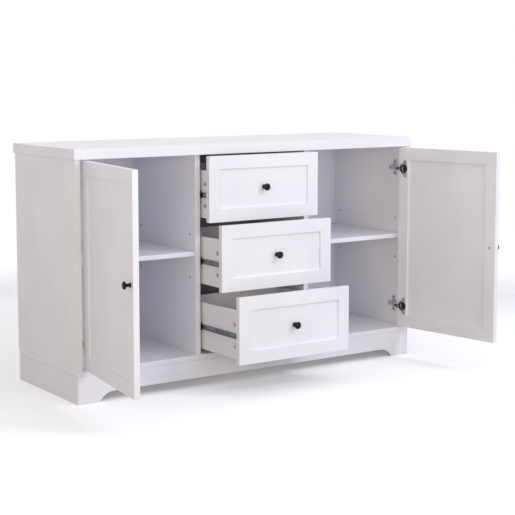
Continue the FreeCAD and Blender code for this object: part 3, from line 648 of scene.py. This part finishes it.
# ------------------------------------------------------------------ shelf pins and empty pin holes
PIN_LEVEL = 430 * MM
PIN_PITCH = 72 * MM
PIN_SETBACKS = (55 * MM, 378 * MM)
PIN_WALLS = [(side * wall, (side * way, 0, 0))
             for side in SIDES.values() for wall, way in ((INNER, -1), (DIVIDER_OUTER, 1))]
SHELF_PIN = lathe(np.array([
    (0, -9), (2.5, -9), (2.5, 0.05), (3.5, 0.05), (3.6, 0.4), (3.4, 0.8), (2.5, 0.85), (2.5, 6.2), (2.3, 6.7),
    (1.8, 7), (0, 7)]) * MM, 32)
# Each empty pin hole is lined with chipboard darkened as painted shade of the deep hole, and a dark ring just
# proud of the white face stands for a slightly torn rim and paints the shade at its edge
PAINTED_SHADE_BORE = lathe(np.array([
    (0, -8.8), (2.45, -8.8), (2.45, 0), (3.1, 0), (3.0, 0.06), (2.2, 0.06), (2.2, -8.3), (0, -8.3)]) * MM, 32)

pins = [facing(SHELF_PIN, (x, FRONT + setback, PIN_LEVEL), outward)
        for x, outward in PIN_WALLS for setback in PIN_SETBACKS]
piece("shelf_pins_turned", joined(pins), "carcass", "pin_steel", ["shelf_pins"])
bores = [facing(PAINTED_SHADE_BORE, (x, FRONT + setback, level), outward)
         for x, outward in PIN_WALLS for setback in PIN_SETBACKS
         for level in (PIN_LEVEL - PIN_PITCH, PIN_LEVEL + PIN_PITCH)]
piece("pin_hole_painted_shade", joined(bores), "carcass", CHIPBOARD_DARKENED_AS_PAINTED_HOLE_SHADE)

# ------------------------------------------------------------------ drawer slides
DRAWER_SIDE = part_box("drawer_upper_side_right")[1].x
SHEET = 1.2 * MM
SLIDE_LENGTH = 350 * MM
CHANNEL_START = FRONT + 22 * MM
CHANNEL_DEPTH = 8.5 * MM
CHANNEL_HEIGHT = 27 * MM
RUNNER_DEPTH = 6.5 * MM
RUNNER_HEIGHT = 17 * MM
SLIDE_SCREWS = (37 * MM, 165 * MM, 293 * MM)  # from the front end of a runner or a channel
SPARE_HOLES = np.array((14, 70, 101, 133, 197, 229, 261, 330)) * MM
RUNNER_SCREW = screw_head(radius=3.3 * MM, height=1.4 * MM, recess=0.8 * MM)
CHANNEL_SCREW = screw_head(radius=3.6 * MM, height=0.5 * MM, recess=0.4 * MM)
# The runners' spare holes are dark discs with a rolled rim laid on the web, with no opening cut: painted shade
# of the holes
HOLE_SHADE_DISC = lathe(np.array([
    (0, 0.05), (1.7, 0.05), (1.9, 0.25), (2.3, 0.3), (2.7, 0.2), (2.8, 0), (0, 0)]) * MM, 24)
SLIDE_BEND = 1.3 * MM
STOP_LENGTH = 4 * MM
STOP_ACROSS = DIVIDER_INNER - 7.9 * MM
STOP_CORNERS = np.array([(0, 10.75), (5.9, 10.75), (5.9, -10.75), (0, -10.75)]) * MM
DRAWER_PAD_ACROSS = 216.3 * MM
DRAWER_PAD_INSET = 14 * MM


def folded(web, tips, height, side, start, level):
    """A C of folded sheet: from one tip round both bends to the other, drawn along the slide's length."""
    reach = abs(tips - web)
    line = [(reach, height / 2 - SHEET / 2), (SHEET / 2, height / 2 - SHEET / 2),
            (SHEET / 2, SHEET / 2 - height / 2), (reach, SHEET / 2 - height / 2)]
    surface = drawn_section(bent_strip(line, SLIDE_BEND, SHEET), start, start + SLIDE_LENGTH)
    way = 1 if tips > web else -1
    return turned(surface, (side * web, 0, level), (side * way, 0, 0), (0, 1, 0), (0, 0, 1))


STOP = drawn_section(
    bent_strip(STOP_CORNERS, bend=1.6 * MM, sheet=2.2 * MM), CHANNEL_START, CHANNEL_START + STOP_LENGTH)
channels, channel_screws, stops = [], [], []
for drawer in DRAWERS:
    body = f"drawer_{drawer}"
    low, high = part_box(f"{body}_slide_runners")
    level, start = (low.z + high.z) / 2, low.y
    runners, screws, holes = [], [], []
    for side in SIDES.values():
        runners.append(folded(DRAWER_SIDE, DRAWER_SIDE + RUNNER_DEPTH, RUNNER_HEIGHT, side, start, level))
        channels.append(folded(DIVIDER_INNER, DIVIDER_INNER - CHANNEL_DEPTH, CHANNEL_HEIGHT, side,
                               CHANNEL_START, level))
        runner_web, channel_web = side * (DRAWER_SIDE + SHEET), side * (DIVIDER_INNER - SHEET)
        for along in SLIDE_SCREWS:
            screws.append(facing(RUNNER_SCREW, (runner_web, start + along, level), (side, 0, 0)))
            spot = (channel_web, CHANNEL_START + along, level)
            channel_screws.append(facing(CHANNEL_SCREW, spot, (-side, 0, 0)))
        for along in SPARE_HOLES:
            holes.append(facing(HOLE_SHADE_DISC, (runner_web, start + along, level), (side, 0, 0)))
        stops.append(turned(STOP, (side * STOP_ACROSS, 0, level), (side, 0, 0), (0, 1, 0), (0, 0, 1)))
    piece(f"{body}_runners_folded", joined(runners), body, "zinc_slide", [f"{body}_slide_runners"])
    piece(f"{body}_runner_screws", joined(screws), body, "zinc_screw")
    # Dark discs that paint the shade of the runners' spare holes
    piece(f"{body}_runner_hole_painted_shade", joined(holes), body, "ball_cage")
    # Pads on the inner face that stop the drawer front on the dividers
    low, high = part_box(f"{body}_front")
    pads = [facing(PAD, (side * DRAWER_PAD_ACROSS, high.y, z), (0, 1, 0))
            for side in SIDES.values() for z in (low.z + DRAWER_PAD_INSET, high.z - DRAWER_PAD_INSET)]
    piece(f"{body}_bumpers", joined(pads), body, BUMPER)
piece("slide_channels_folded", joined(channels), "carcass", "zinc_slide", ["slide_channels"])
piece("slide_channel_screws", joined(channel_screws), "carcass", "zinc_screw")
piece("slide_end_stops", joined(stops), "carcass", BLACK_PLASTIC_AND_CUP_SHADE)


# ------------------------------------------------------------------ edging strips on the melamine boards
def front_edging(node, thickness=0.35 * MM):
    """A strip over the board's front edge, a shallow arch that ends at the board's faces.

    It stands out by t (1 - s^6), with s from -1 to 1 across the strip and t its thickness.
    """
    low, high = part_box(node)
    upright = high.z - low.z > high.x - low.x
    s = np.linspace(-1, 1, 17)
    bow = low.y - thickness * (1 - s**6)
    half = (high.x - low.x if upright else high.z - low.z) / 2
    middle = (low.x + high.x) / 2 if upright else (low.z + high.z) / 2
    ends = (low.z, high.z) if upright else (low.x, high.x)
    back = low.y + thickness
    ring = np.vstack([np.stack([middle + s * half, bow], 1), [[middle + half, back], [middle - half, back]]])
    count = len(ring)
    across, along = (0, 2) if upright else (2, 0)
    points = np.zeros((2 * count, 3))
    points[:, across], points[:, 1] = np.tile(ring[:, 0], 2), np.tile(ring[:, 1], 2)
    points[:, along] = np.repeat(ends, count)
    faces = wrapped_quads(2, count) + [list(range(count))[::-1], list(range(count, 2 * count))]
    return points, faces if upright else [face[::-1] for face in faces]


for node in ("divider_left", "divider_right", "shelf_left", "shelf_right"):
    piece(f"{node}_edging", front_edging(node), "carcass", EDGING[node.split("_")[0]], slot="white_melamine")

# ------------------------------------------------------------------ nails that hold the back to the dividers
NAIL = lathe(round_over(radius=2.6 * MM, height=0.7 * MM, edge=0.4 * MM), 24)
NAIL_INSET = 30 * MM
NAILS_PER_DIVIDER = 6
nails = [facing(NAIL, (side * (DIVIDER_OUTER + DIVIDER_INNER) / 2, BACK_REAR, z), (0, 1, 0))
         for side in SIDES.values()
         for z in np.linspace(FLOOR_TOP + NAIL_INSET, CEILING - NAIL_INSET, NAILS_PER_DIVIDER)]
piece("back_panel_nails", joined(nails), "carcass", "zinc_screw")


# ------------------------------------------------------------------ studio
def studio_paper(tree, place):
    """Matt white paper with a faint fibre, that fades into the white surround away from the furniture.

    Light bounced off it counts as from greyer paper, so that the undersides keep their shade.
    """
    fibre = add(tree, "TexNoise", {"Vector": place, "Scale": 1 / (4 * MM), "Detail": 3.0}).outputs["Fac"]
    bump = add(tree, "Bump", {"Height": fibre, "Strength": 0.1, "Distance": 0.1 * MM})
    paper = add(tree, "BsdfPrincipled", {
        "Base Color": two_tone(tree, fibre, "f6f6f6", "fbfbfb"), "Roughness": 0.9,
        "Emission Color": linear("ffffff"), "Emission Strength": 0.2, "Normal": bump.outputs["Normal"]})
    shade = add(tree, "BsdfPrincipled", {"Base Color": linear("a8a8ac"), "Roughness": 0.9})
    matt = add(tree, "LightPath").outputs["Is Diffuse Ray"]
    paper = add(tree, "MixShader", {0: matt, 1: paper.outputs[0], 2: shade.outputs[0]})
    away = add(tree, "VectorMath", {0: place}, operation="LENGTH").outputs["Value"]
    fade = add(tree, "MapRange", {"Value": away, "From Min": 1.5, "From Max": 2.8},
               interpolation_type="SMOOTHSTEP")
    clear = add(tree, "BsdfTransparent")
    return add(tree, "MixShader", {0: fade.outputs["Result"], 1: paper.outputs[0], 2: clear.outputs[0]})


FLOOR_PROFILE = np.array([(0, -4), (3000, -4), (3000, 0), (0, 0)]) * MM
floor = modelled("studio_floor", lathe(FLOOR_PROFILE, 96), finish("white_studio_paper", studio_paper))


def soft_light(name, spot, target, size, power, colour):
    """A square area light aimed at a target."""
    lamp = bpy.data.lights.new(name, "AREA")
    lamp.shape, lamp.size, lamp.energy = "SQUARE", size, power
    lamp.color = linear(colour)[:3]
    made = bpy.data.objects.new(name, lamp)
    made.location = spot
    made.rotation_euler = (Vector(target) - Vector(spot)).to_track_quat("-Z", "Y").to_euler()
    bpy.context.scene.collection.objects.link(made)


soft_light("key_from_front_right", (1.9, -3.4, 3.1), (0.1, -0.2, 0.4), 1.1, 52, "e2eaff")
soft_light("front_from_above", (0.2, -2.0, 3.2), (0.0, -0.2, 0.4), 1.6, 8, "edf0ff")
soft_light("front_at_eye_height", (0.3, -4.2, 0.9), (0.0, 0.0, 0.45), 1.2, 28, "eef2ff")
soft_light("fill_from_front_left", (-3.0, -3.2, 1.0), (-0.1, -0.2, 0.5), 1.0, 37, "ffe4b6")
soft_light("top_light", (0.0, -0.3, 3.4), (0.0, -0.1, 0.4), 2.4, 8, "fffaf4")

world = bpy.data.worlds.new("white_surround")
world.use_nodes = True
bpy.context.scene.world = world
tree = world.node_tree
tree.nodes.clear()
matt = add(tree, "LightPath").outputs["Is Diffuse Ray"]
white = add(tree, "Background", {"Color": linear("ffffff"), "Strength": 1.0})
lit = add(tree, "Background", {"Color": linear("f9f9ff"), "Strength": 0.63})
mixed = add(tree, "MixShader", {0: matt, 1: white.outputs[0], 2: lit.outputs[0]})
add(tree, "OutputWorld", {"Surface": mixed.outputs[0]})

camera = bpy.data.cameras.new("camera")
camera.sensor_width = 36.0
camera.lens = 92.81
camera.shift_y = -0.08
camera.clip_end = 100.0
viewer = bpy.data.objects.new("camera", camera)
viewer.location = (-2.5206, -3.8734, 1.0368)
CAMERA_DIP, CAMERA_TURN = 0.1087, 0.60446  # radians: down from level, and to the right of straight ahead
viewer.rotation_euler = (math.pi / 2 - CAMERA_DIP, 0.0, -CAMERA_TURN)
bpy.context.scene.collection.objects.link(viewer)
bpy.context.scene.camera = viewer
bpy.context.scene.view_settings.view_transform = "Standard"
